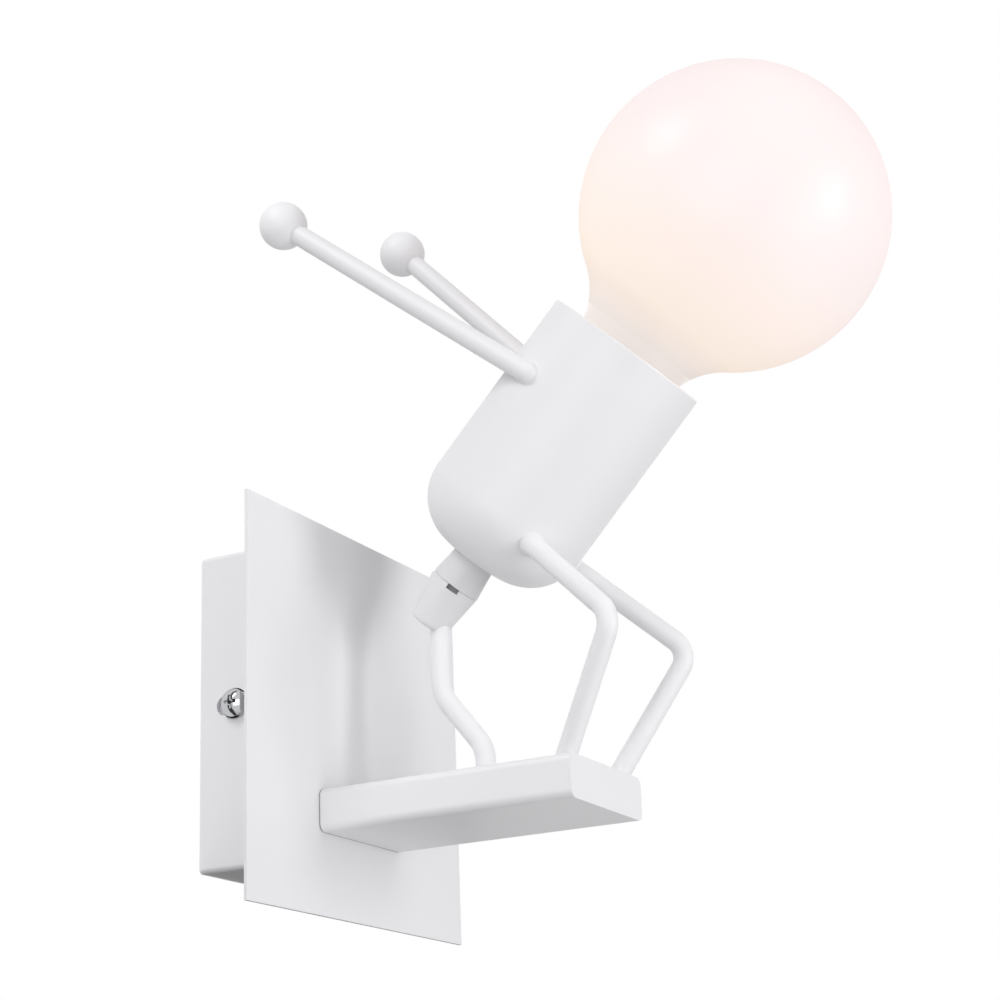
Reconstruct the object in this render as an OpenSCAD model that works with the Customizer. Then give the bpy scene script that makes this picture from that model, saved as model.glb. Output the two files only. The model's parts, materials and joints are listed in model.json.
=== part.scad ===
// Wall sconce in the form of a small figure that stands on a board and holds up a globe lamp.
// The wall is the plane y = 0, the light stands out towards -Y, and +Z is up.

/* [Wall box] */
// Width of the front plate
plate_w = 124; // [116:1:136]
// Height of the front plate
plate_h = 121.5; // [114:0.5:134]
// Thickness of the front plate
plate_t = 1; // [0.8:0.1:1.5]
// Width and height of the back box
box_w = 96.2; // [94:0.1:100]
// Depth of the back box
box_d = 25; // [23:0.5:28]
// How far the middle of the back box lies below its side screws
box_drop = 0.9; // [0:0.1:1.5]
// Thickness of the sheet of the back box
sheet = 1; // [0.8:0.1:1.2]
// Distance between the slots for the wall screws
slot_pitch = 60; // [54:1:64]

/* [Board] */
// Width of the board
board_w = 48; // [44:1:54]
// Thickness of the board
board_t = 13; // [12:0.5:15]
// How far the board juts out from the plate
board_l = 83.5; // [80:0.5:90]
// Depth of the top of the board below the middle of the plate
board_drop = 23; // [20:1:26]
// Wall of the board's tube
board_wall = 1.2; // [1:0.1:1.5]
// Rounding of the long edges of the board
board_round = 2.5; // [2:0.1:3]

/* [Stem] */
// Diameter of the stem
stem_d = 6.2; // [6:0.1:6.8]
// Bore of the stem
stem_bore = 4.4; // [4.2:0.1:4.6]
// Distance from the plate to the foot of the stem
stem_out = 44; // [40:0.5:48]
// Radius of the bends of the stem
stem_bend = 12; // [9:0.5:14]

/* [Knuckle] */
// Distance from the wall to the middle of the knuckle's ball
pivot_out = 58.3; // [58:0.1:60]
// Height of the middle of the knuckle's ball
pivot_up = 36.7; // [35:0.1:40]
// Lean of the figure away from upright
lean = 44.1; // [42:0.1:47]
// Largest diameter of the knuckle, at its seam
knuckle_d = 16.3; // [16:0.1:17]
// Diameter of the knuckle's ball
ball_d = 11.2; // [10.8:0.1:11.4]
// Gap at the seam of the knuckle
seam_gap = 0.3; // [0.25:0.05:0.5]

/* [Cup] */
// Diameter of the cup
cup_d = 53.4; // [52:0.1:58]
// Length of the cup
cup_l = 80; // [76:1:84]
// Wall of the cup
cup_wall = 1.2; // [1:0.1:1.5]
// Rounding of the cup's bottom
cup_round = 18; // [14:0.5:19]
// Tip of the lamp holder and its bulb away from the axis of the cup
holder_tip = 1.4; // [0:0.1:1.5]

/* [Arms and legs] */
// Diameter of the arms
arm_d = 6.6; // [6:0.1:7]
// Length of an arm, from the cup to the middle of the hand
arm_l = 110.5; // [104:0.5:114]
// Lift of the left arm, towards the bulb
left_lift = -4.7; // [-6:0.1:4]
// Lift of the right arm, towards the bulb
right_lift = 3.2; // [-6:0.1:4]
// Turn of both arms away from the middle
arm_splay = 1.9; // [0:0.1:4]
// Diameter of a hand
hand_d = 15.6; // [14:0.1:17]
// Diameter of the legs
leg_d = 6.2; // [6:0.1:6.6]
// Distance of a knee from the axis of the cup
knee_out = 65.5; // [62:0.1:68]
// Distance of a knee from the middle plane
knee_side = 28; // [24:0.5:30]
// Radius of the bend at a knee
knee_bend = 7; // [6:0.5:9]

/* [Bulb] */
// Diameter of the globe
globe_d = 95; // [90:1:96]
// Height of the middle of the globe above the rim of the cup
globe_up = 52; // [51.5:0.5:55]
// Radius of the neck of the globe
neck_r = 17.5; // [16.5:0.1:18]
// Radius of the hollow between neck and globe
neck_hollow = 22; // [18:0.5:24]
// Thickness of the globe's wall
glass_t = 1; // [0.8:0.1:1.2]

/* [Hidden] */
$fn = 72;
// Slip between a screw or a spigot and its hole
slip = 0.05;
// Overshoot of a cut past the face it opens
over = 1;
// Half length of the fine bead at the seams of a bent bar
bead = 0.08;

plate_front = box_d + plate_t;
box_in = box_w / 2 - sheet;
box_floor = box_d - sheet;
box_round = 1.5;
board_z = -board_drop - board_t / 2;
board_end_y = -plate_front - board_l;
end_t = 1.5;
spigot_l = 4;
spigot_wall = 1.4;
root_t = 6;
wire_hole_r = 3.6;

// Screws, by the radius of the shank, radius of the head and height of the head
m4 = [2, 4.2, 2.9];
m3 = [1.5, 2.8, 1.9];
recess_w = 1.1;
recess_depth = 1.4;
washer_t = 0.8;
washer_r = 4.6;

// Wall bracket
tab_d = 20;
bracket_t = 1.5;
bracket_h = 22;
bracket_bend = 2.5;
slot_r = 2.5;
slot_l = 14;
cable_r = 6;
earth_x = 14.5;
side_y = -12.6;
side_slot_r = 3;
side_slot_l = 13.6;

// Terminal block
pole_x = 4.5;
block_w = 20;
block_l = 17;
block_h = 8.5;
block_z = 26;
tower_r = 3.3;
tower_h = 4;
insert_r = 2.5;
insert_bore = 1.4;
insert_y = -box_floor + block_h / 2;

// Screws between box and board
fix_x = 14;

// Leads
lead_r = 0.9;
lead_x = 1;
lead_turn = 3;
lead_slant_turn = 6;
lead_grip = 2;

// Stem, as heights above the top of the board and distances from the plate
stem_in = 2;
stem_low = 10.5;
stem_high = 29;
stem_h = 53.5;
stem_back = 29.6;
stem_top = -board_drop + stem_h;
stem_y = -plate_front - stem_out;
stem_y2 = -plate_front - stem_back;

// Knuckle, along its own axis from the middle of the ball
seam_r = knuckle_d / 2;
seam_up = 4;
dome_r = norm([seam_r, seam_up]);
socket_turn = 2.5;
socket_low = 10.6;
socket_low_r = 6.1;
socket_round = 1.2;
ball_r = ball_d / 2;
seat_gap = 0.1;
ring_r = seam_r - 1.3;
ring_low = 1.5;
ball_neck_r = 3.2;
mouth_r = ball_neck_r + 1;
tail_r = 4.9;
tail_from = 9.8;
tail_bore = 2.6;
collar_top_r = 6.9;
key_w = 4;
key_h = 1;
key_depth = 2.4;
key_turn = 212.5;
cup_base = seam_up + 10.5;

// Bulb, as depths below the rim of the cup
shoulder_depth = 7;
collar_depth = 13.2;
cap_depth = 13.5;
glass_depth = 20;
cap_cone_depth = 32.5;
cap_end_depth = 35.6;
tip_depth = 38;

// Bulb, as heights above the bottom of the cup
globe_r = globe_d / 2;
globe_z = cup_l + globe_up;
hollow_x = neck_r + neck_hollow;
hollow_z = globe_z - sqrt(pow(globe_r + neck_hollow, 2) - pow(hollow_x, 2));
shoulder_top = cup_l - shoulder_depth;
shoulder_low = cup_l - collar_depth;
collar_low = cup_l - glass_depth;
collar_r = 12.4;
cap_top = cup_l - cap_depth;
cap_low = cup_l - cap_cone_depth;
cap_cone_low = cup_l - cap_end_depth;
cap_r = 13.1;
cap_t = 0.6;
cap_cone_r = 9.5;
tip_up = cup_l - tip_depth;
tip_r = 4.6;
tip_t = 0.8;
tip_gap = 0.3;
neck_rise = 4.5;
neck_top = cup_l + neck_rise;
neck_wall = 1.6;
ledge_depth = 2;
ledge_up = cup_l - ledge_depth;
ledge_t = 1.5;
ledge_in = neck_r - 3;
chip_plate_up = ledge_up + ledge_t;
chip_plate_r = neck_r - neck_wall;
chip_plate_t = 1.2;
chip_plate_hole = 2;
chip_count = 12;
chip_ring = 11;
chip_size = [2.8, 3.5, 0.8];

// Lamp holder, as depths below the tip of the bulb
shell_drop = 4.4;
recess_drop = 9;
wire_drop = 11.5;
tail_drop = 13;
clamp_drop = 13.8;
strap_drop = 19.5;

// Lamp holder, as heights above the bottom of the cup
cup_r = cup_d / 2;
lip_r = cup_wall / 2;
nut_af = 14;
nut_t = 4;
nut_play = 0.13;
strap_up = tip_up - strap_drop;
strap_t = 1.5;
strap_mid = strap_up + strap_t / 2;
strap_r = 18.6;
strap_w = 14;
strap_screw_x = 16.4;
tail_up = tip_up - tail_drop;
holder_r = 19.5;
holder_low = strap_up + strap_t;
holder_depth = 15.5;
holder_top = cup_l - holder_depth;
recess_r = 13.6;
recess_up = tip_up - recess_drop;
shell_low = tip_up - shell_drop;
shell_r = 14.1;
shell_t = 0.5;
flange_in = 7;
post_r = 1.6;
post_y = 8.5;
clamp_w = 6;
clamp_low = tip_up - clamp_drop;
clamp_wire = tip_up - wire_drop;
contact_w = 6;
contact_t = 0.6;

// Arms and legs
arm_up = 56.7;
arm_e = 6.3;
arm_start = 1.2;
hip_up = 16.2;
hip_x = 14.8;
hip_sink = 3;
right_knee_shift = [0, 0.9, 1.1];
foot_side = 6.5;
foot_end = 4.4;
foot_gap = 0.2;

pivot = [0, -pivot_out, pivot_up];
left = -1;
right = 1;

white = [0.9, 0.9, 0.92];
zinc = [0.72, 0.73, 0.75];
chrome = [0.78, 0.79, 0.8];
brass = [0.8, 0.66, 0.36];
porcelain = [0.93, 0.92, 0.89];
nylon = [0.9, 0.9, 0.86];
opal = [1, 0.96, 0.92];

// Unit vector
function unit(v) = v / norm(v);

// Angles that turn the axes onto the directions x and y
function turn(x, y) = abs(x[2]) > 0.9999
    ? [atan2(-sign(x[2]) * y[0], y[1]), -90 * sign(x[2]), 0]
    : [atan2(y[2], cross(x, y)[2]), asin(-x[2]), atan2(x[1], x[0])];

// A point of the figure's own axes in the frame of the wall
function world(p) = pivot + [p[0], 0, 0]
    + p[1] * [0, cos(lean), sin(lean)]
    + p[2] * [0, -sin(lean), cos(lean)];

// Directions and points of the arms, in the figure's own axes
function arm_way(side, lift) = [side * sin(arm_splay), 0, 0]
    + cos(arm_splay) * [0, cos(lift), sin(lift)];
function arm_root(side) = [side * sqrt(cup_r * cup_r - arm_e * arm_e), arm_e, cup_base + arm_up];
function hand_at(side, lift) = arm_root(side) + arm_l * arm_way(side, lift);

// A point of the cup, tipped with the lamp holder
function tipped(p) = [p[0], 0, strap_mid]
    + p[1] * [0, cos(holder_tip), sin(holder_tip)]
    + (p[2] - strap_mid) * [0, -sin(holder_tip), cos(holder_tip)];

// Points of the legs, in the frame of the wall
function hip(side) = world([side * hip_x, -sqrt(cup_r * cup_r - hip_x * hip_x), cup_base + hip_up]);
function knee(side) = world([side * knee_side, -knee_out, cup_base + hip_up]
    + (side == right ? right_knee_shift : [0, 0, 0]));
function foot(side) = [side * (board_w / 2 - foot_side), board_end_y + foot_end, -board_drop];

// Places of the stem's bends
stem_path = [[0, stem_y, -board_drop - board_wall - stem_in],
    [0, stem_y, -board_drop + stem_low],
    [0, stem_y2, -board_drop + stem_high],
    [0, stem_y2, stem_top]];

// Rectangle with rounded corners
module rounded(w, h, r) {
    square([w - 2 * r, h], center = true);
    square([w, h - 2 * r], center = true);
    for (x = [left, right], y = [-1, 1])
        translate([x * (w / 2 - r), y * (h / 2 - r)])
            circle(r);
}

// Oblong hole along X, cut along Z
module oblong(l, r, h) {
    cube([l - 2 * r, 2 * r, h], center = true);
    for (x = [left, right])
        translate([x * (l / 2 - r), 0, 0])
            cylinder(h = h, r = r, center = true);
}

// Round end at p of a bar of radius r
module round_end(p, r) {
    translate(p)
        sphere(r + bead / 8);
}

// Straight round bar from a to b
module bar(a, b, r) {
    v = b - a;
    translate(a)
        rotate([0, acos(v[2] / norm(v)), atan2(v[1], v[0])])
            cylinder(h = norm(v), r = r);
}

// Distance from a corner to the start of its bend
function set_back(a, b, c, bend) = bend * tan(acos(unit(b - a) * unit(c - b)) / 2);

// Quarter-like bend at the corner b
module elbow(a, b, c, bend, r) {
    u = unit(b - a);
    v = unit(c - b);
    n = unit(v - u * (u * v));
    translate(b - u * set_back(a, b, c, bend) + n * bend)
        rotate(turn(-n, u))
            rotate_extrude(angle = acos(u * v))
                translate([bend, 0])
                    circle(r);
}

// Round bar along the points p, with the bend radii b at the inner points
module bent_bar(p, b, r) {
    last = len(p) - 1;
    for (i = [0 : last - 1]) {
        d = unit(p[i + 1] - p[i]);
        from = i == 0 ? 0 : set_back(p[i - 1], p[i], p[i + 1], b[i - 1]) + bead / 4;
        to = i == last - 1 ? 0 : set_back(p[i], p[i + 1], p[i + 2], b[i]) + bead / 4;
        bar(p[i] + d * from, p[i + 1] - d * to, r);
    }
    for (i = [1 : last - 1]) {
        back = set_back(p[i - 1], p[i], p[i + 1], b[i - 1]);
        elbow(p[i - 1], p[i], p[i + 1], b[i - 1], r);
        seam_bead(p[i], p[i - 1], back, r);
        seam_bead(p[i], p[i + 1], back, r);
    }
}

// Fine bead round the seam between a straight length and a bend, at the distance back from a towards b
module seam_bead(a, b, back, r) {
    d = unit(b - a);
    bar(a + d * (back - bead), a + d * (back + bead), r + bead / 8);
}

// Screw with a domed head above z = 0 and a cross recess
module pan_screw(size, l) {
    head_r = size[1];
    head_h = size[2];
    rim = head_h / 3;
    dome = head_h - rim;
    ball = (head_r * head_r + dome * dome) / (2 * dome);
    difference() {
        union() {
            translate([0, 0, -l])
                cylinder(h = l, r = size[0]);
            intersection() {
                cylinder(h = head_h, r = head_r);
                translate([0, 0, head_h - ball])
                    sphere(ball);
            }
        }
        for (a = [0, 90])
            rotate([0, 0, a])
                translate([-head_r / 2, -recess_w / 2, head_h - recess_depth])
                    cube([head_r, recess_w, recess_depth + over]);
    }
}

// Screw with a flat head above z = 0 and one slot
module slot_screw(size, l) {
    difference() {
        union() {
            translate([0, 0, -l])
                cylinder(h = l, r = size[0]);
            cylinder(h = size[2], r = size[1]);
        }
        translate([-size[1] - over, -recess_w / 2, size[2] / 2])
            cube([2 * (size[1] + over), recess_w, size[2]]);
    }
}

// Flat ring lying on z = 0
module ring(outer, inner, h) {
    difference() {
        cylinder(h = h, r = outer);
        translate([0, 0, -over])
            cylinder(h = h + 2 * over, r = inner);
    }
}

// Hexagon nut lying on z = 0
module hex_nut(af, inner, h) {
    difference() {
        linear_extrude(height = h)
            circle(r = af / sqrt(3), $fn = 6);
        translate([0, 0, -over])
            cylinder(h = h + 2 * over, r = inner);
    }
}

// Turns a shape drawn outwards along +Z so that it stands out from the wall
module outwards() {
    rotate([90, 0, 0])
        children();
}

// Places a shape on the axis of the figure, with the middle of the ball at z = 0
module on_axis() {
    translate(pivot)
        rotate([lean, 0, 0])
            children();
}

// Places a shape on the axis of the knuckle's socket, with the middle of the ball at z = 0
module on_socket() {
    translate(pivot)
        rotate([lean - socket_turn, 0, 0])
            children();
}

// Places a shape inside the cup, with the outside of its bottom at z = 0
module in_cup() {
    on_axis()
        translate([0, 0, cup_base])
            children();
}

// Places a shape drawn in the cup on the lamp holder, which is tipped about the middle of its strap
module in_holder() {
    in_cup()
        translate([0, 0, strap_mid])
            rotate([holder_tip, 0, 0])
                translate([0, 0, -strap_mid])
                    children();
}

// Solid of the outside of the cup, long enough to trim the rods that are welded to it
module cup_body() {
    in_cup()
        cylinder(h = cup_l, r = cup_r);
}

module wall_bracket() {
    inner_w = box_in - bracket_t;
    color(zinc)
        difference() {
            translate([0, 0, -bracket_h / 2])
                linear_extrude(height = bracket_h)
                    difference() {
                        intersection() {
                            translate([0, -tab_d])
                                rounded(2 * box_in, 2 * tab_d, bracket_bend);
                            translate([-box_in, -tab_d])
                                square([2 * box_in, tab_d]);
                        }
                        translate([0, -tab_d])
                            rounded(2 * inner_w, 2 * (tab_d - bracket_t), bracket_bend - bracket_t);
                    }
            for (x = [left, right])
                translate([x * slot_pitch / 2, -bracket_t / 2, 0])
                    outwards()
                        oblong(slot_l, slot_r, bracket_t + over);
            outwards()
                cylinder(h = 2 * over + bracket_t, r = cable_r, center = true);
            translate([earth_x, 0, 0])
                outwards()
                    cylinder(h = 2 * over + bracket_t, r = m4[0] + slip, center = true);
            translate([0, side_y, 0])
                rotate([0, 90, 0])
                    cylinder(h = box_w, r = m4[0] + slip, center = true);
        }
}

module back_box() {
    color(white)
        difference() {
            translate([0, 0, -box_drop])
                outwards()
                    linear_extrude(height = box_d)
                        rounded(box_w, box_w, box_round);
            translate([0, over, -box_drop])
                outwards()
                    linear_extrude(height = box_floor + over)
                        rounded(2 * box_in, 2 * box_in, box_round / 2);
            for (x = [left, right])
                translate([x * (box_in + sheet / 2), side_y, 0])
                    rotate([90, 0, 90])
                        oblong(side_slot_l, side_slot_r, sheet + over);
            board_holes();
            translate([0, -box_d, block_z])
                rotate([-90, 0, 0])
                    cylinder(h = 2 * sheet, r = m3[0] + slip);
        }
}

// Holes through box and plate for the board's screws and the leads
module board_holes() {
    for (x = [left, right])
        translate([x * fix_x, over - box_floor, board_z])
            outwards()
                cylinder(h = plate_front - box_floor + 2 * over, r = m4[0] + slip);
    translate([0, over - box_floor, board_z])
        outwards()
            cylinder(h = plate_front - box_floor + 2 * over, r = wire_hole_r);
}

module front_plate() {
    color(white)
        difference() {
            translate([-plate_w / 2, -plate_front, -plate_h / 2])
                cube([plate_w, plate_t, plate_h]);
            board_holes();
        }
}

// Places a shape drawn on z = 0 outside each side of the box, on the axis of the side screws
module at_sides() {
    for (x = [left, right])
        translate([x * box_w / 2, side_y, 0])
            rotate([0, x * 90, 0])
                children();
}

module side_screws() {
    color(chrome)
        at_sides()
            translate([0, 0, washer_t])
                pan_screw(m4, washer_t + sheet + bracket_t + m4[0]);
}

module side_washers() {
    color(chrome)
        at_sides()
            ring(washer_r, m4[0] + slip, washer_t);
}

module earth_screw() {
    color(brass)
        translate([earth_x, -bracket_t - washer_t, 0])
            outwards()
                pan_screw(m4, bracket_t + washer_t);
}

module earth_washer() {
    color(brass)
        translate([earth_x, -bracket_t, 0])
            outwards()
                ring(washer_r, m4[0] + slip, washer_t);
}

// Places a shape drawn on z = 0 at each clamping screw of the block, facing the wall
module at_towers() {
    for (x = [left, right], z = [-1, 1])
        translate([x * pole_x, insert_y, block_z + z * block_l / 4])
            rotate([-90, 0, 0])
                children();
}

module terminal_block() {
    tower_top = block_h / 2 + tower_h;
    color(nylon)
        difference() {
            union() {
                translate([-block_w / 2, -box_floor, block_z - block_l / 2])
                    cube([block_w, block_h, block_l]);
                at_towers()
                    cylinder(h = tower_top, r = tower_r);
            }
            for (x = [left, right])
                translate([x * pole_x, insert_y, block_z])
                    cylinder(h = block_l + over, r = insert_r + slip, center = true);
            at_towers()
                cylinder(h = tower_top + over, r = m3[0] + slip);
            translate([0, -box_floor - over, block_z])
                rotate([-90, 0, 0])
                    cylinder(h = block_h + 2 * over, r = m3[0] + slip);
        }
}

module terminal_inserts() {
    color(brass)
        difference() {
            for (x = [left, right])
                translate([x * pole_x, insert_y, block_z])
                    cylinder(h = block_l - 2 * over, r = insert_r, center = true);
            for (x = [left, right])
                translate([x * pole_x, insert_y, block_z])
                    cylinder(h = block_l, r = insert_bore, center = true);
            at_towers()
                cylinder(h = block_h, r = m3[0] + slip);
        }
}

module terminal_screws() {
    grub = tower_h + block_h / 2 - lead_r - 2 * over;
    color(zinc)
        at_towers()
            translate([0, 0, lead_r + slip])
                difference() {
                    cylinder(h = grub, r = m3[0]);
                    translate([-m3[0] - over, -recess_w / 4, grub - over])
                        cube([2 * (m3[0] + over), recess_w / 2, 2 * over]);
                }
}

module block_screw() {
    color(zinc)
        translate([0, -box_floor + block_h, block_z])
            rotate([-90, 0, 0])
                slot_screw(m3, block_h + sheet);
}

module board() {
    color(white)
        difference() {
            translate([0, -plate_front, board_z])
                outwards()
                    linear_extrude(height = board_l - end_t)
                        difference() {
                            rounded(board_w, board_t, board_round);
                            board_hollow();
                        }
            translate([0, stem_y, board_z])
                cylinder(h = board_t, r = stem_d / 2 + slip);
        }
}

// Outline of the hollow of the board, smaller by play
module board_hollow(play = 0) {
    cut = 2 * (board_wall + play);
    rounded(board_w - cut, board_t - cut, board_round - board_wall);
}

module board_end() {
    color(white)
        translate([0, board_end_y, board_z])
            rotate([-90, 0, 0])
                difference() {
                    union() {
                        linear_extrude(height = end_t)
                            rounded(board_w, board_t, board_round);
                        linear_extrude(height = end_t + spigot_l)
                            board_hollow(slip);
                    }
                    translate([0, 0, end_t])
                        linear_extrude(height = spigot_l + over)
                            spigot_hollow();
                }
}

// Outline of the hollow of the spigot on the board's end
module spigot_hollow() {
    cut = 2 * (board_wall + spigot_wall);
    rounded(board_w - cut, board_t - cut, (board_round - board_wall) / 2);
}

module board_root() {
    color(zinc)
        translate([0, -plate_front, board_z])
            outwards()
                difference() {
                    linear_extrude(height = root_t)
                        board_hollow(slip);
                    for (x = [left, right])
                        translate([x * fix_x, 0, -over])
                            cylinder(h = root_t + 2 * over, r = m4[0] + slip);
                    translate([0, 0, -over])
                        cylinder(h = root_t + 2 * over, r = wire_hole_r);
                }
}

// Places a shape drawn on z = 0 at the board's screws, on the floor of the box and facing the wall
module at_board_screws() {
    for (x = [left, right])
        translate([x * fix_x, -box_floor, board_z])
            rotate([-90, 0, 0])
                children();
}

module board_screws() {
    color(zinc)
        at_board_screws()
            translate([0, 0, washer_t])
                pan_screw(m4, washer_t + sheet + plate_t + root_t);
}

module board_washers() {
    color(zinc)
        at_board_screws()
            ring(washer_r, m4[0] + slip, washer_t);
}

module stem() {
    p = stem_path;
    color(white)
        difference() {
            bent_bar(p, [stem_bend, stem_bend], stem_d / 2);
            bent_bar([p[0] - [0, 0, over], p[1], p[2], p[3] + [0, 0, over]],
                [stem_bend, stem_bend], stem_bore / 2);
        }
}

// Half outline of the lower cone: a cone with a rounded foot, capped by the dome round the ball
module socket_outline() {
    intersection() {
        polygon([[0, -socket_low], [socket_low_r, -socket_low], [seam_r, seam_up],
            [seam_r, dome_r], [0, dome_r]]);
        union() {
            circle(dome_r);
            translate([0, -socket_low + socket_round])
                square([seam_r, socket_low - socket_round]);
            translate([0, -socket_low])
                square([socket_low_r - socket_round, socket_low]);
            translate([socket_low_r - socket_round, -socket_low + socket_round])
                circle(socket_round);
        }
    }
}

module knuckle_socket() {
    color(white)
        difference() {
            on_socket()
                difference() {
                    rotate_extrude()
                        socket_outline();
                    sphere(ball_r + seat_gap);
                    translate([0, 0, -ring_low])
                        cylinder(h = dome_r + ring_low, r = ring_r + slip);
                }
            translate([0, stem_y2, 0])
                cylinder(h = stem_top, r = stem_d / 2 + slip);
            translate([0, stem_y2, 0])
                cylinder(h = pivot_up, r = stem_bore / 2);
            key_slot();
        }
}

// Slot for a pin key, in the edge of the socket and in its ring
module key_slot() {
    on_socket()
        rotate([0, 0, key_turn])
            translate([seam_r - key_depth, -key_w / 2, seam_up - key_h])
                cube([key_depth + over, key_w, key_h + over]);
}

module knuckle_ring() {
    color(zinc)
        difference() {
            on_socket()
                rotate_extrude()
                    difference() {
                        intersection() {
                            translate([0, -ring_low])
                                square([ring_r, ring_low + dome_r]);
                            circle(dome_r);
                        }
                        circle(ball_r + seat_gap);
                        square([mouth_r, dome_r + over]);
                    }
            key_slot();
        }
}

module base_leads() {
    slant_from = block_z - block_l;
    slant_to = board_z + block_l;
    color([0.75, 0.2, 0.16])
        for (x = [left, right])
            bent_bar([[x * pole_x, insert_y, block_z - lead_grip],
                [x * pole_x, insert_y, slant_from],
                [x * lead_x, insert_y, slant_to],
                [x * lead_x, insert_y, board_z],
                [x * lead_x, stem_y, board_z],
                [x * lead_x, stem_y, stem_path[1][2]],
                [x * lead_x, stem_y2, stem_path[2][2]],
                [x * lead_x, stem_y2, stem_top]],
                [lead_slant_turn, lead_slant_turn, lead_turn, lead_turn, stem_bend, stem_bend], lead_r);
}

module knuckle_ball() {
    top = cup_base + tail_up;
    color(zinc)
        on_axis()
            difference() {
                union() {
                    sphere(ball_r);
                    cylinder(h = tail_from + over, r = ball_neck_r);
                    translate([0, 0, tail_from])
                        cylinder(h = top - tail_from, r = tail_r);
                }
                translate([0, 0, -ball_d])
                    cylinder(h = top + 2 * ball_d, r = tail_bore);
            }
}

module knuckle_collar() {
    color(white)
        on_axis()
            rotate_extrude()
                difference() {
                    polygon([[tail_r + slip, seam_up], [seam_r, seam_up],
                        [collar_top_r, cup_base], [tail_r + slip, cup_base]]);
                    circle(dome_r + seam_gap);
                }
}

// Half outline of a cup with a rounded bottom
module half_cup(r, l, round) {
    square([r - round, l]);
    translate([0, round])
        square([r, l - round]);
    intersection() {
        translate([r - round, round])
            circle(round);
        square([r, l]);
    }
}

module socket_cup() {
    color(white)
        in_cup()
            rotate_extrude() {
                difference() {
                    half_cup(cup_r, cup_l - lip_r, cup_round);
                    translate([0, cup_wall])
                        half_cup(cup_r - cup_wall, cup_l, cup_round - cup_wall);
                    square([tail_r + slip, cup_round]);
                }
                translate([cup_r - lip_r, cup_l - lip_r])
                    circle(lip_r);
            }
}

module cup_washer() {
    color(zinc)
        in_cup()
            translate([0, 0, cup_wall])
                ring(nut_af / 2 + 1.5, tail_r + slip, washer_t);
}

module cup_nut() {
    color(zinc)
        in_cup()
            translate([0, 0, cup_wall + washer_t])
                hex_nut(nut_af, tail_r + slip, nut_t);
}

// An arm, coped where it is welded to the cup
module arm(side, lift) {
    way = arm_way(side, lift);
    color(white)
        difference() {
            on_axis() {
                bar(arm_root(side) + way * arm_start, hand_at(side, lift), arm_d / 2);
                round_end(arm_root(side) + way * arm_start, arm_d / 2);
            }
            cup_body();
        }
}

// A hand, bored for the end of its arm
module hand(side, lift) {
    color(white)
        on_axis()
            difference() {
                translate(hand_at(side, lift))
                    sphere(hand_d / 2);
                bar(arm_root(side), hand_at(side, lift), arm_d / 2 + slip);
            }
}

module arm_left() {
    arm(left, left_lift);
}

module arm_right() {
    arm(right, right_lift);
}

module hand_left() {
    hand(left, left_lift);
}

module hand_right() {
    hand(right, right_lift);
}

// A leg, coped where it is welded to the cup and cut level at the foot
module leg(side) {
    thigh = unit(knee(side) - hip(side));
    top = hip(side) - thigh * hip_sink;
    shin = unit(foot(side) - knee(side));
    color(white)
        difference() {
            union() {
                bent_bar([top, knee(side), foot(side) + shin * leg_d / 2], [knee_bend], leg_d / 2);
                round_end(top, leg_d / 2);
            }
            cup_body();
            translate(foot(side) + [0, 0, foot_gap - leg_d])
                cylinder(h = leg_d, r = 2 * leg_d);
        }
}

module leg_left() {
    leg(left);
}

module leg_right() {
    leg(right);
}

module holder_nuts() {
    color(zinc)
        in_holder()
            for (z = [strap_up - nut_t, strap_up + strap_t])
                translate([0, 0, z])
                    hex_nut(nut_af, tail_r + nut_play, z < strap_up ? nut_t : nut_t / 2);
}

// Places a shape on the axes of the strap's two screws
module at_strap_screws(z) {
    in_holder()
        for (x = [left, right])
            translate([x * strap_screw_x, 0, z])
                children();
}

module holder_strap() {
    color(zinc)
        difference() {
            in_holder()
                translate([0, 0, strap_up])
                    difference() {
                        intersection() {
                            cylinder(h = strap_t, r = strap_r);
                            translate([-strap_r, -strap_w / 2, 0])
                                cube([2 * strap_r, strap_w, strap_t]);
                        }
                        translate([0, 0, -over])
                            cylinder(h = strap_t + 2 * over, r = tail_r + slip);
                    }
            at_strap_screws(strap_up - over)
                cylinder(h = strap_t + 2 * over, r = m3[0] + slip);
        }
}

module holder_screws() {
    color(zinc)
        at_strap_screws(strap_up)
            rotate([180, 0, 0])
                slot_screw([m3[0], m3[1] - over / 2, m3[2]], strap_t + m3[1] * 3);
}

module holder_body() {
    color(porcelain)
        difference() {
            in_holder()
                rotate_extrude()
                    difference() {
                        translate([0, holder_low])
                            square([holder_r, holder_top - holder_low]);
                        translate([0, holder_low - over])
                            square([recess_r, recess_up - holder_low + over]);
                        translate([0, shell_low])
                            square([shell_r + slip, cup_l]);
                    }
            at_strap_screws(holder_low - over)
                cylinder(h = m3[1] * 3 + 2 * over, r = m3[0] + slip);
            in_holder()
                for (y = [-1, 1])
                    translate([0, y * post_y, recess_up - over])
                        cylinder(h = shell_low, r = post_r + slip);
        }
}

module holder_shell() {
    color(brass)
        in_holder()
            difference() {
                rotate_extrude() {
                    translate([shell_r - shell_t, shell_low])
                        square([shell_t, holder_top - shell_low - shell_t]);
                    translate([flange_in, shell_low])
                        square([shell_r - flange_in, shell_t]);
                }
                translate([-shell_r, -shell_r * 2, shell_low - over])
                    cube([2 * shell_r, 2 * shell_r, shell_t + over + slip]);
            }
}

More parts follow.
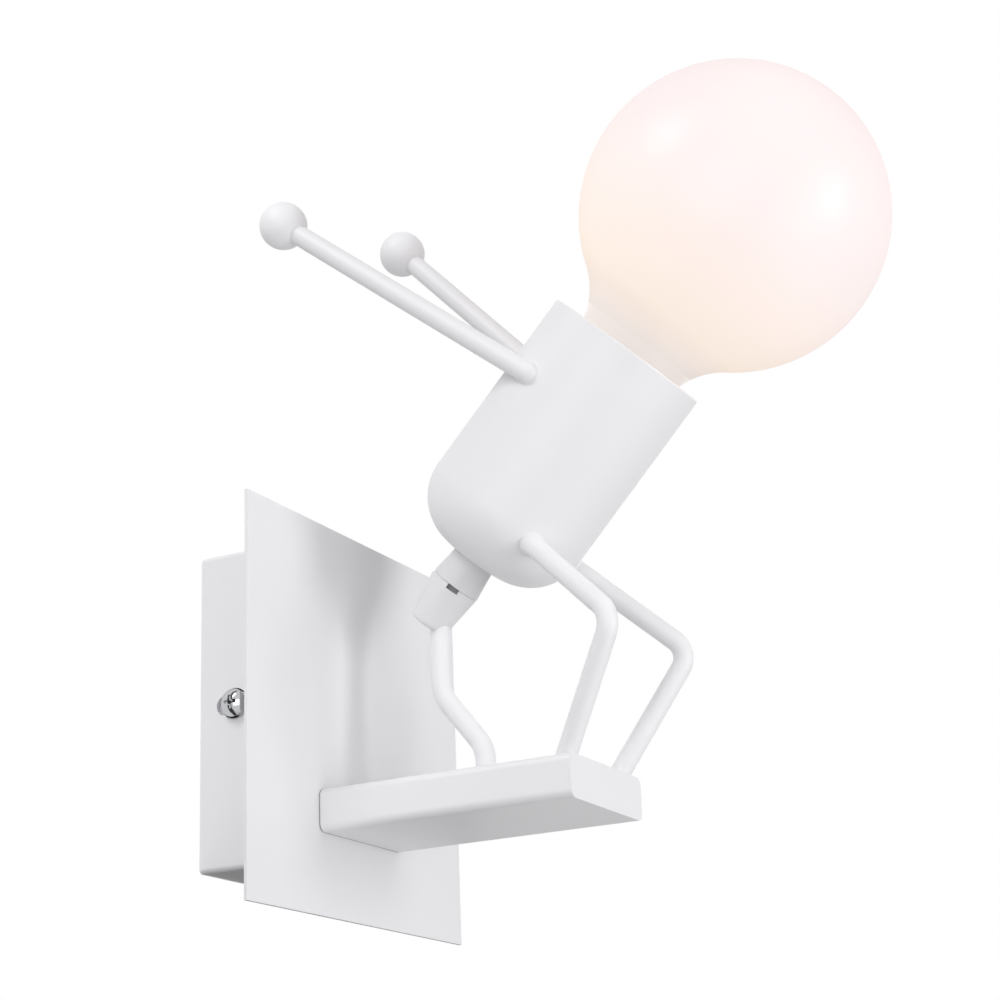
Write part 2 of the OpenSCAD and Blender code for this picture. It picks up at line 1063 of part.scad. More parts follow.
module holder_contact() {
    tongue = tip_up - tip_gap - contact_t;
    color(brass)
        in_holder()
            translate([-contact_w / 2, 0, 0])
                rotate([90, 0, 90])
                    linear_extrude(height = contact_w)
                        polygon([[-post_y - post_r, shell_low], [-post_y / 2, shell_low],
                            [0, tongue], [post_r * 2, tongue],
                            [post_r * 2, tongue + contact_t], [-contact_t, tongue + contact_t],
                            [-post_y / 2 - contact_t, shell_low + contact_t],
                            [-post_y - post_r, shell_low + contact_t]]);
}

module holder_terminals() {
    color(brass)
        in_holder()
            for (y = [-1, 1])
                difference() {
                    union() {
                        translate([-clamp_w / 2, y * post_y - clamp_w / 2, clamp_low])
                            cube([clamp_w, clamp_w, recess_up - clamp_low]);
                        translate([0, y * post_y, recess_up - over])
                            cylinder(h = shell_low - recess_up + over, r = post_r);
                    }
                    translate([y * lead_x, y * post_y, clamp_wire])
                        rotate([y * 90, 0, 0])
                            cylinder(h = clamp_w, r = lead_r + slip);
                    translate([0, y * post_y, clamp_low - over])
                        cylinder(h = clamp_wire - clamp_low + over, r = m3[0] + slip);
                }
}

module holder_clamps() {
    color(zinc)
        in_holder()
            for (y = [-1, 1])
                translate([0, y * post_y, clamp_low])
                    rotate([180, 0, 0])
                        slot_screw(m3, clamp_wire - clamp_low - lead_r - slip);
}

module head_leads() {
    color([0.75, 0.2, 0.16])
        in_cup()
            for (s = [-1, 1])
                bent_bar([[s * lead_x, 0, -cup_base - ball_neck_r],
                    tipped([s * lead_x, 0, clamp_wire]),
                    tipped([s * lead_x, s * post_y, clamp_wire])],
                    [clamp_wire - tail_up], lead_r);
}

// Half outline of the globe and its neck, set in by t from the outside
module glass_outline(t) {
    translate([0, globe_z])
        intersection() {
            circle(globe_r - t);
            translate([0, -globe_r])
                square([globe_r, globe_d]);
        }
    difference() {
        polygon([[0, hollow_z], [hollow_x, hollow_z], [0, globe_z]]);
        translate([hollow_x, hollow_z])
            circle(neck_hollow + t);
    }
    polygon([[0, collar_low], [collar_r - t, collar_low], [collar_r - t, shoulder_low],
        [neck_r - t, shoulder_top], [neck_r - t, hollow_z], [0, hollow_z]]);
}

// Room below the seam between the neck and the globe, in half outline
module below_seam() {
    translate([0, collar_low - over])
        square([globe_r, neck_top - collar_low + over]);
}

module bulb_globe() {
    color(opal)
        in_holder()
            rotate_extrude()
                difference() {
                    glass_outline(0);
                    glass_outline(glass_t);
                    below_seam();
                }
}

module bulb_neck() {
    color(porcelain)
        in_holder()
            rotate_extrude()
                intersection() {
                    glass_outline(0);
                    below_seam();
                    union() {
                        difference() {
                            translate([0, collar_low])
                                square([globe_r, globe_z - collar_low]);
                            glass_outline(neck_wall);
                        }
                        translate([ledge_in, ledge_up])
                            square([neck_r, ledge_t]);
                    }
                }
}

module bulb_cap() {
    color(zinc)
        in_holder()
            rotate_extrude()
                polygon([[cap_r, cap_top], [cap_r, cap_low], [cap_cone_r, cap_cone_low],
                    [cap_cone_r - cap_t, cap_cone_low + cap_t], [cap_r - cap_t, cap_low + cap_t],
                    [cap_r - cap_t, cap_top]]);
}

module bulb_insulator() {
    color([0.12, 0.12, 0.13])
        in_holder()
            rotate_extrude()
                polygon([[0, tip_up + tip_t], [tip_r, tip_up + tip_t], [cap_cone_r, cap_cone_low],
                    [cap_cone_r - cap_t, cap_cone_low + cap_t], [0, cap_cone_low + cap_t]]);
}

module bulb_tip() {
    color(zinc)
        in_holder()
            translate([0, 0, tip_up])
                cylinder(h = tip_t, r1 = tip_r - tip_t, r2 = tip_r);
}

module bulb_plate() {
    color(zinc)
        in_holder()
            translate([0, 0, chip_plate_up])
                ring(chip_plate_r, chip_plate_hole, chip_plate_t);
}

module bulb_chips() {
    color([0.95, 0.8, 0.3])
        in_holder()
            for (i = [0 : chip_count - 1])
                rotate([0, 0, i * 360 / chip_count])
                    translate([chip_ring, 0, chip_plate_up + chip_plate_t + chip_size[2] / 2])
                        cube(chip_size, center = true);
}

wall_bracket();
back_box();
front_plate();
side_screws();
side_washers();
earth_screw();
earth_washer();
terminal_block();
terminal_inserts();
terminal_screws();
block_screw();
board();
board_end();
board_root();
board_screws();
board_washers();
stem();
knuckle_socket();
knuckle_ring();
base_leads();
knuckle_ball();
knuckle_collar();
socket_cup();
cup_washer();
cup_nut();
arm_left();
arm_right();
hand_left();
hand_right();
leg_left();
leg_right();
holder_nuts();
holder_strap();
holder_body();
holder_shell();
holder_contact();
holder_terminals();
holder_clamps();
holder_screws();
head_leads();
bulb_globe();
bulb_cap();
bulb_insulator();
bulb_tip();
bulb_neck();
bulb_plate();
bulb_chips();
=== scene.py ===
"""Dresses a figure wall sconce.

Powder coat, plating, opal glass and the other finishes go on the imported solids. Weld beads, filled
seams and rolled threads are new pieces, and a stage of camera, light and floor stands round them.
"""

import json
import math

import bmesh
import bpy
import numpy as np
from bpy.props import FloatProperty, FloatVectorProperty, PointerProperty
from bpy.types import Operator, Panel, PropertyGroup
from mathutils import Matrix, Vector


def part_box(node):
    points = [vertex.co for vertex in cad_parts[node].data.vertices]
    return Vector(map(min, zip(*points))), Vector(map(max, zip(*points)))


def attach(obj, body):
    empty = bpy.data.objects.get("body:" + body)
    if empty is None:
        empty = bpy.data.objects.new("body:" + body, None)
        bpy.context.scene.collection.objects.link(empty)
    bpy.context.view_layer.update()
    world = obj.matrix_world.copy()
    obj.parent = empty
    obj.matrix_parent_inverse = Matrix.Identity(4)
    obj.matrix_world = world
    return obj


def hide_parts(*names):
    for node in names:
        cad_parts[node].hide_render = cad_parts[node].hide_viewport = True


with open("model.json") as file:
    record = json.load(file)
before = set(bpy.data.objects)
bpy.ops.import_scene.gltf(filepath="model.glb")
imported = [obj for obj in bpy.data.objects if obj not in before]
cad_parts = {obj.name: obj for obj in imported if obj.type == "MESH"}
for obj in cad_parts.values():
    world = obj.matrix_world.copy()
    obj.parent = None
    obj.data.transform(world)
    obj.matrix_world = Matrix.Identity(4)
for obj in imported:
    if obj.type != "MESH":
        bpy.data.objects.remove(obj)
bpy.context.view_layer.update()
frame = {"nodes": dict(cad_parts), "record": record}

bl_info = {
    "name": "Figure wall sconce",
    "version": (1, 0, 0),
    "blender": (4, 5, 0),
    "location": "3D View > Sidebar > Sconce",
    "description": "Paint, plating, opal glass, weld beads and threads of a figure wall sconce",
    "category": "Object",
}

MM = 0.001
JOINTS = {joint["name"]: joint for joint in frame["record"]["behaviour"]["joints"]}

# Axes of the tilting figure: to the right as one faces the wall, backwards and up, and along the
# cup towards the bulb
PIVOT = np.array(JOINTS["figure_tilt"]["pos_m"])
LEAN = math.radians(44.1)
SIDEWAYS = np.array((1.0, 0.0, 0.0))
ALONG = np.array((0.0, -math.sin(LEAN), math.cos(LEAN)))
FIGURE_AXES = np.stack((SIDEWAYS, np.cross(ALONG, SIDEWAYS), ALONG))
CUP_BOTTOM = 14.5 * MM

# Axes of the bulb, which tips with its holder about the middle of the holder's strap
BULB_ALONG = np.array(JOINTS["bulb_unscrew"]["axis"])
BULB_AXES = np.stack((SIDEWAYS, np.cross(BULB_ALONG, SIDEWAYS), BULB_ALONG))
STRAP = 23.25 * MM
BULB_FOOT = PIVOT + (CUP_BOTTOM + STRAP) * ALONG - STRAP * BULB_ALONG

# The globe, in heights above the foot of the bulb's axes, as all heights of the bulb are
CUP_RIM = 80.0 * MM
GLOBE_MIDDLE = CUP_RIM + 52.0 * MM
GLOBE_RADIUS = 47.5 * MM

# Threaded cap of the bulb: a sheet that is rolled between two heights and drawn in below a third
CAP_TOP, CAP_BOTTOM = 66.5 * MM, 44.4 * MM
CAP_RADIUS, CAP_WALL = 13.1 * MM, 0.3 * MM
CAP_THREAD_TOP, CAP_THREAD_BOTTOM, CAP_THREAD_FADE = 59.8 * MM, 47.0 * MM, 1.5 * MM
CAP_CONE_TOP, CAP_CONE_HEIGHT, CAP_CONE_DEPTH = 47.5 * MM, 3.1 * MM, 3.6 * MM
CAP_ROWS = 130

# Threaded shell of the holder, with half a ring at its bottom
SHELL_TOP, SHELL_BOTTOM = 63.9 * MM, 37.7 * MM
SHELL_BORE, SHELL_WALL, SHELL_THREAD = 13.85 * MM, 0.2 * MM, 0.4 * MM
SHELL_ROWS = 150
RING_INSIDE, RING_OUTSIDE = 7.0 * MM, 13.9 * MM
RING_BOTTOM, RING_TOP = 37.6 * MM, 38.1 * MM
RING_STEPS = 48
THREAD_STEPS = 96

# The cup, the rods and the balls of the figure
CUP_RADIUS = 26.7 * MM
HAND_RADIUS = 7.8 * MM
ARM_RADIUS = 3.3 * MM
LEG_RADIUS = 3.1 * MM
STEM_RADIUS = 3.1 * MM
STEM_FOOT_Y = -70.0 * MM
COLLAR_RADIUS = 6.9 * MM

# Arms: their place behind the cup's middle and height on it, where on its line an arm starts, the
# reach to the middle of the hand, the turn outwards and the turn upwards of each
ARM_BACK = 6.3 * MM
ARM_RISE = CUP_BOTTOM + 56.7 * MM
ARM_START = 1.2 * MM
ARM_REACH = 110.5 * MM
ARM_SPLAY = math.radians(1.9)
ARM_LIFT = {"left": math.radians(-4.7), "right": math.radians(3.2)}

# Legs: the hip's place beside the cup's middle and its height, how deep the leg starts in the cup's
# wall, the knee's place beside and in front of the middle, and how far the right knee is off it
HIP_ASIDE = 14.8 * MM
HIP_RISE = CUP_BOTTOM + 16.2 * MM
HIP_DEPTH = 3.0 * MM
KNEE_ASIDE = 28.0 * MM
KNEE_REACH = 65.5 * MM
RIGHT_KNEE_SHIFT = np.array((0.0, 0.9, 1.1)) * MM

# Weld beads and seams: steps round the rod and across the bead, where on the rod's line a bead's
# middle is taken, how far out from it the bead is sought, in rod radii and halvings, how deep its
# edges are sunk, and how far behind its arc a bead or seam is closed, in radii of the arc
BEAD_STEPS, SEAM_STEPS, STEPS_ACROSS = 120, 72, 9
BEAD_MIDDLE = 3.0 * MM
BEAD_SEARCH, BEAD_HALVINGS = 8.0, 40
BEAD_SINK = 0.06 * MM
BEAD_BACK, SEAM_BACK = 1.3, 1.35
LARGEST_COSINE = 0.999      # keeps the swing of an arc off nothing and off half a turn
SKEW = (0.3, 0.8, 0.52)     # a direction that no axis here follows

# Colours of finishes that have no setting of their own, most of them a pair that a pattern mixes
WHITE = (1.0, 1.0, 1.0, 1.0)
# Painted shade: dark greys of the knuckle's ring, which darken the notch at its seam
RING_SHADE_GREYS = ((0.34, 0.34, 0.35, 1.0), (0.44, 0.44, 0.45, 1.0))
TARNISH = (0.46, 0.30, 0.13, 1.0)
NYLON = ((0.76, 0.75, 0.70, 1.0), (0.80, 0.79, 0.75, 1.0))
GLAZE = ((0.80, 0.79, 0.75, 1.0), (0.83, 0.82, 0.79, 1.0))
IRON_SPECK = (0.42, 0.34, 0.26, 1.0)
BROWN_AND_BLUE = ((0.19, 0.075, 0.035, 1.0), (0.035, 0.12, 0.36, 1.0))
TALC = (0.55, 0.53, 0.50, 1.0)
BLACK_GLASS = ((0.010, 0.010, 0.014, 1.0), (0.022, 0.020, 0.026, 1.0))
SOLDER_MASK = ((0.70, 0.71, 0.70, 1.0), (0.80, 0.80, 0.80, 1.0))
PHOSPHOR = ((0.80, 0.58, 0.10, 1.0), (0.86, 0.70, 0.22, 1.0))
CHIP_GLOW = (1.0, 0.78, 0.42, 1.0)
RIM_GLOW = (0.72, 0.65, 0.615, 1.0)
PEACH_GLOW = (1.0, 0.825, 0.69, 1.0)
ROSY_GLOW = (0.82, 0.69, 0.70, 1.0)
PALE_FLOOR = ((0.79, 0.79, 0.79, 1.0), (0.83, 0.83, 0.83, 1.0))
DARK_CARD = ((0.05, 0.05, 0.05, 1.0), (0.06, 0.06, 0.06, 1.0))

# Copies of the common coat with painted shade or light: the collar and socket darker, as shade
# under the cup, and the hands lighter, as light from above. Name, gain and nodes
SHADED_AND_LIT_COATS = (
    ("collar_coat", 0.82, ("knuckle_collar",)),
    ("socket_coat", 0.91, ("knuckle_socket",)),
    ("hand_coat", 1.07, ("hand_left", "hand_right")),
)

# Softboxes: direction from the point they face, distance from it, width and height, in metres
AIM = Vector((0.0, -0.1, 0.06))
SOFTBOXES = {
    "upper": ((-0.633, 0.290, 0.719), 1.2, (0.48, 0.48)),
    "front": ((0.06, -0.985, 0.03), 1.2, (0.40, 0.50)),
    "side": ((-0.98, -0.15, 0.0), 0.85, (0.55, 0.55)),
    "low": ((-0.25, -0.90, -0.30), 1.2, (0.7, 0.5)),
}
SENSOR = 36.0               # width of the camera's sensor, in millimetres
SKY_EDGE = 0.8              # upward part of a direction at which the sky is at its full strength

# Floor, in metres: its middle below the lamp, its steps and rings, where it turns white, the width
# of its grain, and how near two points are one
FLOOR_Y = -0.1
FLOOR_STEPS, FLOOR_RINGS = 96, 40
FLOOR_FIRST_RING, FLOOR_LAST_RING = 0.05, 6.0
FLOOR_FADE = (0.25, 0.9)
FLOOR_GRAIN = 0.05
SAME_POINT = 1e-6

# Shade cards: their gap to the box, how far they reach, and where the narrow one stands beside it
CARD_GAP = 0.5 * MM
CARD_REACH = 0.12
CARD_FAR, CARD_NEAR = 50.0 * MM, 14.0 * MM

# Sockets of a Mix node that is set to colours
MIX_FACTOR, MIX_FIRST, MIX_SECOND, MIX_RESULT = 0, 6, 7, 2


class CoatSettings(PropertyGroup):
    """The white powder coat."""

    colour: FloatVectorProperty(
        name="Coat colour", description="Colour of the powder coat", subtype="COLOR",
        size=3, min=0.0, max=1.0, default=(0.81, 0.805, 0.824))
    roughness: FloatProperty(
        name="Roughness", description="Roughness of the powder coat", subtype="FACTOR",
        min=0.05, max=1.0, default=0.42)
    grain: FloatProperty(
        name="Grain", description="Width of the dimples of the powder coat", unit="LENGTH",
        min=0.0002, max=0.005, default=1.1 * MM)
    grain_depth: FloatProperty(
        name="Grain depth", description="Depth of the dimples of the powder coat", unit="LENGTH",
        min=0.0, max=0.0002, default=0.012 * MM)


class MetalSettings(PropertyGroup):
    """The plated and bare metals."""

    chrome: FloatVectorProperty(
        name="Chrome", description="Colour of the side screws", subtype="COLOR",
        size=3, min=0.0, max=1.0, default=(0.52, 0.525, 0.54))
    zinc: FloatVectorProperty(
        name="Zinc", description="Colour of the zinc-plated steel", subtype="COLOR",
        size=3, min=0.0, max=1.0, default=(0.60, 0.61, 0.63))
    brass: FloatVectorProperty(
        name="Brass", description="Colour of the bare brass", subtype="COLOR",
        size=3, min=0.0, max=1.0, default=(0.78, 0.58, 0.26))
    cap: FloatVectorProperty(
        name="Bulb cap", description="Colour of the rolled cap of the bulb", subtype="COLOR",
        size=3, min=0.0, max=1.0, default=(0.74, 0.74, 0.73))


class BulbSettings(PropertyGroup):
    """The bulb and its threads."""

    glass: FloatVectorProperty(
        name="Opal", description="Colour of the opal globe and its housing", subtype="COLOR",
        size=3, min=0.0, max=1.0, default=(0.45, 0.43, 0.42))
    glow: FloatProperty(
        name="Glow", description="Strength of the light from the globe",
        min=0.0, max=2.0, default=0.66)
    pitch: FloatProperty(
        name="Thread pitch", description="Rise of the rolled thread in one turn", unit="LENGTH",
        min=0.001, max=0.006, default=3.62 * MM)
    thread_depth: FloatProperty(
        name="Thread depth", description="Depth of the rolled thread of the cap", unit="LENGTH",
        min=0.0002, max=0.0012, default=0.9 * MM)


class WeldSettings(PropertyGroup):
    """The beads where rods meet other pieces."""

    weld: FloatProperty(
        name="Weld", description="Radius of the weld beads round the arms and legs",
        unit="LENGTH", min=0.0002, max=0.002, default=0.7 * MM)
    seam: FloatProperty(
        name="Seam", description="Radius of the paint-filled seams at hands, stem and collar",
        unit="LENGTH", min=0.0002, max=0.002, default=0.5 * MM)


class StageSettings(PropertyGroup):
    """The camera, the light and the floor."""

    azimuth: FloatProperty(
        name="Azimuth", description="Turn of the camera round the lamp", subtype="ANGLE",
        default=math.radians(-62.81))
    elevation: FloatProperty(
        name="Elevation", description="Height of the camera as an angle", subtype="ANGLE",
        default=math.radians(-19.0))
    roll: FloatProperty(
        name="Roll", description="Turn of the camera about its line of sight", subtype="ANGLE",
        default=math.radians(-2.19))
    lens: FloatProperty(
        name="Lens", description="Focal length on a 36 mm sensor",
        min=20.0, max=200.0, default=78.948)
    eye: FloatVectorProperty(
        name="Eye", description="Place of the camera", subtype="XYZ", unit="LENGTH",
        size=3, default=(-0.57278, -0.37236, -0.15688))
    sky: FloatProperty(
        name="Sky", description="Strength of the soft light from above",
        min=0.0, max=1.0, default=0.55)
    upper: FloatProperty(
        name="Upper softbox", description="Power of the softbox above and behind", unit="POWER",
        min=0.0, max=50.0, default=4.8)
    front: FloatProperty(
        name="Front softbox", description="Power of the softbox in front", unit="POWER",
        min=0.0, max=50.0, default=5.0)
    side: FloatProperty(
        name="Side softbox", description="Power of the softbox on the left", unit="POWER",
        min=0.0, max=50.0, default=2.2)
    low: FloatProperty(
        name="Low softbox", description="Power of the softbox in front and below", unit="POWER",
        min=0.0, max=50.0, default=2.6)
    floor: FloatProperty(
        name="Floor", description="Height of the floor", unit="LENGTH", default=-0.90)


class Wire:
    """A socket of a node tree.

    Arithmetic on it adds Math nodes, and add() puts in any other node.
    """

    def __init__(self, tree, socket=None):
        self.tree = tree
        self.socket = socket

    def add(self, kind, settings=None, inputs=None, output=0):
        """Adds a node: first its settings, then its sockets' values or links. Gives one output."""
        node = self.tree.nodes.new(kind)
        for key, value in (settings or {}).items():
            setattr(node, key, value)
        for key, value in (inputs or {}).items():
            if isinstance(value, Wire):
                self.tree.links.new(value.socket, node.inputs[key])
            else:
                node.inputs[key].default_value = value
        return Wire(self.tree, node.outputs[output] if node.outputs else None)

    def maths(self, operation, *values):
        """Result of a Math node on values or links."""
        return self.add("ShaderNodeMath", {"operation": operation}, dict(enumerate(values)))

    def __add__(self, other):
        return self.maths("ADD", self, other)

    __radd__ = __add__

    def __sub__(self, other):
        return self.maths("SUBTRACT", self, other)

    def __rsub__(self, other):
        return self.maths("SUBTRACT", other, self)

    def __mul__(self, other):
        return self.maths("MULTIPLY", self, other)

    __rmul__ = __mul__

    def larger(self, other):
        """The larger of two values."""
        return self.maths("MAXIMUM", self, other)

    def step(self, low, high):
        """Smooth rise from 0 at low to 1 at high."""
        return self.add("ShaderNodeMapRange", {"interpolation_type": "SMOOTHSTEP"},
                        {"Value": self, "From Min": low, "From Max": high})

    def blend(self, first, second):
        """Colour that goes from first to second as this value goes from 0 to 1."""
        return self.add("ShaderNodeMix", {"data_type": "RGBA"},
                        {MIX_FACTOR: self, MIX_FIRST: first, MIX_SECOND: second}, MIX_RESULT)

    def dents(self, depth):
        """Normal of a surface with dents that follow this value, depth deep."""
        return self.add("ShaderNodeBump", None,
                        {"Strength": 1.0, "Distance": depth, "Height": self}, "Normal")

    def place(self):
        """Place on the piece, in metres."""
        return self.add("ShaderNodeTexCoord", output="Object")

    def part(self, axis):
        """The X, Y or Z of this place or direction."""
        return self.add("ShaderNodeSeparateXYZ", None, {"Vector": self}, axis)

    def noise(self, width, detail=2.0, roughness=0.5):
        """Soft noise at this place, whose blots are about width across."""
        return self.add("ShaderNodeTexNoise", None, {
            "Vector": self, "Scale": 1.0 / width, "Detail": detail, "Roughness": roughness}, "Fac")

    def bulb_height(self):
        """Height of this place along the bulb's axis, from the foot of its axes."""
        moved = self.add("ShaderNodeVectorMath", {"operation": "SUBTRACT"},
                         {0: self, 1: tuple(BULB_FOOT)})
        return self.add("ShaderNodeVectorMath", {"operation": "DOT_PRODUCT"},
                        {0: moved, 1: tuple(BULB_ALONG)}, "Value")


def rgba(colour, gain=1.0):
    """Colour with an opaque fourth value, made lighter or darker by gain."""
    return (*(min(value * gain, 1.0) for value in colour[:3]), 1.0)


def shades(colour, first, second):
    """Two shades of a colour, each made by its own gain."""
    return rgba(colour, first), rgba(colour, second)


def blank(owner):
    """Wire into the emptied node tree of a material or a world."""
    owner.use_nodes = True
    owner.node_tree.nodes.clear()
    return Wire(owner.node_tree)


def finish(name, paint, *values):
    """Material whose Principled shader has the socket values that paint gives."""
    material = bpy.data.materials.new(name)
    wire = blank(material)
    shader = wire.add("ShaderNodeBsdfPrincipled", None, paint(wire, *values))
    wire.add("ShaderNodeOutputMaterial", None, {"Surface": shader})
    return material


def powder_coat(wire, coat, joint=None, gain=1.0):
    """Satin white powder coat: fine dimples, a faint uneven tint and an uneven gloss.

    A joint is a depth y at which the coated piece butts against another; there a fine line is
    painted dark, as painted shade in the gap. A gain under 1 darkens the coat as painted shade,
    and one over 1 lightens it as painted light.
    """
    place = wire.place()
    dimples = place.noise(coat.grain)
    flow = place.noise(9.0 * coat.grain)
    cloud = place.noise(40.0 * MM, detail=3.0)
    speck = place.noise(0.35 * coat.grain, detail=1.0)
    tint = (cloud * 0.6 + flow * 0.4).blend(*shades(coat.colour, 0.985 * gain, 1.015 * gain))
    paint = (speck.step(0.70, 0.80) * 0.10).blend(tint, rgba(coat.colour, 0.86 * gain))
    # Painted shade: a fine dark line in the gap where the piece butts against another
    if joint is not None:
        line = place.part("Y").step(joint - 0.55 * MM, joint - 0.15 * MM)
        paint = (line * 0.8).blend(paint, rgba(coat.colour, 0.12))
    return {
        "Base Color": paint,
        "Roughness": coat.roughness - 0.05 + dimples * 0.10,
        "Specular IOR Level": 0.34,
        "Normal": (dimples + flow * 1.6 + speck * 0.25).dents(coat.grain_depth),
    }


def chrome_plate(wire, metal):
    """Bright chrome with hairline scratches and a few dull spots."""
    place = wire.place()
    drawn = wire.add("ShaderNodeMapping", None, {"Vector": place, "Scale": (1.0, 0.12, 1.0)})
    dull = place.noise(2.2 * MM, detail=3.0)
    return {
        "Base Color": dull.step(0.5, 0.8).blend(*shades(metal.chrome, 1.0, 0.86)),
        "Metallic": 1.0,
        "Roughness": 0.10 + dull.step(0.45, 0.75) * 0.10,
        "Normal": drawn.noise(0.10 * MM).dents(0.0015 * MM),
    }


def zinc_plate(wire, metal):
    """Zinc-plated steel: large pale and dark crystals with a fine rolled grain."""
    place = wire.place()
    crystals = wire.add("ShaderNodeTexVoronoi", None, {
        "Vector": place, "Scale": 1.0 / (3.2 * MM), "Randomness": 1.0}, "Color")
    shade = wire.add("ShaderNodeSeparateColor", None, {"Color": crystals}, "Red")
    grain = place.noise(0.25 * MM, detail=3.0)
    cloud = place.noise(7.0 * MM, detail=3.0)
    return {
        "Base Color": (shade * 0.6 + cloud * 0.4).blend(*shades(metal.zinc, 0.86, 1.12)),
        "Metallic": 1.0,
        "Roughness": 0.28 + shade * 0.12 + grain * 0.08,
        "Normal": (grain + shade * 0.5).dents(0.004 * MM),
    }


def greased_steel(wire):
    """Matt, finely grained zinc-plated steel in dark greys: painted shade in the seam's notch."""
    grain = wire.place().noise(0.2 * MM)
    return {
        "Base Color": grain.blend(*RING_SHADE_GREYS),
        "Roughness": 0.50 + grain * 0.15,
        "Specular IOR Level": 0.3,
        "Normal": grain.dents(0.005 * MM),
    }


def bare_brass(wire, metal):
    """Bare brass with a brown tarnish in clouds and a drawn grain."""
    place = wire.place()
    tarnish = place.noise(3.5 * MM, detail=4.0, roughness=0.6).step(0.42, 0.75)
    grain = place.noise(0.2 * MM)
    return {
        "Base Color": tarnish.blend(rgba(metal.brass), TARNISH),
        "Metallic": 1.0,
        "Roughness": 0.22 + tarnish * 0.18 + grain * 0.06,
        "Normal": grain.dents(0.003 * MM),
    }


def rolled_cap(wire, metal):
    """Rolled nickel-plated sheet: fine rings about the bulb's axis and dull clouds."""
    place = wire.place()
    rings = wire.add("ShaderNodeTexNoise", {"noise_dimensions": "1D"}, {
        "W": place.bulb_height(), "Scale": 1.0 / (0.12 * MM), "Detail": 2.0}, "Fac")
    cloud = place.noise(4.0 * MM, detail=3.0)
    return {
        "Base Color": cloud.blend(*shades(metal.cap, 0.92, 1.05)),
        "Metallic": 1.0,
        "Roughness": 0.18 + cloud * 0.12,
        "Normal": rings.dents(0.002 * MM),
    }


def moulded_nylon(wire):
    """Moulded nylon: milky, with a fine sparked grain and a faint yellow unevenness."""
    place = wire.place()
    grain = place.noise(0.3 * MM)
    cloud = place.noise(6.0 * MM, detail=3.0)
    return {
        "Base Color": cloud.blend(*NYLON),
        "Roughness": 0.42 + grain * 0.14,
        "Subsurface Weight": 0.1,
        "Subsurface Radius": (1.0 * MM, 1.0 * MM, 0.8 * MM),
        "Normal": grain.dents(0.008 * MM),
    }


def glazed_porcelain(wire):
    """White porcelain under a clear glaze that lies in soft waves, with a few iron specks."""
    place = wire.place()
    wave = place.noise(5.0 * MM)
    speck = place.noise(0.9 * MM, detail=1.0).step(0.74, 0.80)
    return {
        "Base Color": (speck * 0.5).blend(wave.blend(*GLAZE), IRON_SPECK),
        "Roughness": 0.10 + wave * 0.06,
        "Normal": wave.dents(0.05 * MM),
    }


def lead_sleeve(wire):
    """Silicone sleeves of the leads: brown on one side, blue on the other, with a talc bloom."""
    place = wire.place()
    bloom = place.noise(1.2 * MM, detail=4.0, roughness=0.65)
    sleeve = place.part("X").step(-0.2 * MM, 0.2 * MM).blend(*BROWN_AND_BLUE)
    return {
        "Base Color": (bloom.step(0.55, 0.80) * 0.25).blend(sleeve, TALC),
        "Roughness": 0.46 + bloom * 0.20,
        "Normal": bloom.dents(0.01 * MM),
    }


def black_glass(wire):
    """Black moulded glass between the cap and its contact, wavy and glossy."""
    wave = wire.place().noise(2.0 * MM)
    return {
        "Base Color": wave.blend(*BLACK_GLASS),
        "Roughness": 0.10 + wave * 0.08,
        "Normal": wave.dents(0.03 * MM),
    }


def lamp_glow(place):
    """Light through opal: dim at the cup's rim, peach where the neck widens, rosy at the crown."""
    rise = place.bulb_height()
    warm = rise.step(CUP_RIM + 10.0 * MM, GLOBE_MIDDLE + 0.25 * GLOBE_RADIUS)
    lit = rise.step(CUP_RIM + 2.0 * MM, CUP_RIM + 16.0 * MM)
    return lit.blend(RIM_GLOW, warm.blend(PEACH_GLOW, ROSY_GLOW))


def opal_globe(wire, bulb):
    """Lit opal globe: faint clouds and ripples under a thin gloss that ends before its edge."""
    place = wire.place()
    cloud = place.noise(26.0 * MM, detail=3.0)
    ripple = place.noise(7.0 * MM, detail=1.0)
    edge = wire.add("ShaderNodeLayerWeight", None, {"Blend": 0.5}, "Facing").step(0.40, 0.80)
    return {
        "Base Color": cloud.blend(*shades(bulb.glass, 1.0, 0.985)),
        "Roughness": 0.22 + ripple * 0.06,
        "Specular IOR Level": 0.0,
        "Coat Weight": 0.42 - edge * 0.42,
        "Coat Roughness": 0.34,
        "Emission Color": lamp_glow(place),
        "Emission Strength": bulb.glow,
        "Normal": ripple.dents(0.03 * MM),
    }


def housing_plastic(wire, bulb):
    """Milky moulded plastic with a satin grain, which carries the globe's light down to the rim."""
    place = wire.place()
    grain = place.noise(0.35 * MM)
    cloud = place.noise(8.0 * MM, detail=3.0)
    return {
        "Base Color": cloud.blend(*shades(bulb.glass, 0.985, 1.015)),
        "Roughness": 0.30 + grain * 0.10,
        "Specular IOR Level": 0.2,
        "Emission Color": lamp_glow(place),
        "Emission Strength": bulb.glow,
        "Normal": grain.dents(0.004 * MM),
    }


def chip_board(wire):
    """White solder mask over an aluminium disc, with faint tracks showing through."""
    place = wire.place()
    tracks = wire.add("ShaderNodeTexVoronoi", {"feature": "DISTANCE_TO_EDGE"}, {
        "Vector": place, "Scale": 1.0 / (3.0 * MM)}, "Distance").step(0.03, 0.10)
    grain = place.noise(0.2 * MM)
    return {
        "Base Color": tracks.blend(*SOLDER_MASK),
        "Roughness": 0.34 + grain * 0.10,
        "Normal": tracks.dents(0.02 * MM),
    }


def phosphor(wire):
    """Yellow phosphor of the light chips, with a grain of its own and a glow."""
    grain = wire.place().noise(0.15 * MM)
    return {
        "Base Color": grain.blend(*PHOSPHOR),
        "Roughness": 0.55 + grain * 0.10,
        "Emission Color": CHIP_GLOW,
        "Emission Strength": 0.6,
        "Normal": grain.dents(0.01 * MM),
    }


def coat_node(name, material):
    """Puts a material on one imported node."""
    mesh = frame["nodes"][name].data
    mesh.materials.clear()
    mesh.materials.append(material)


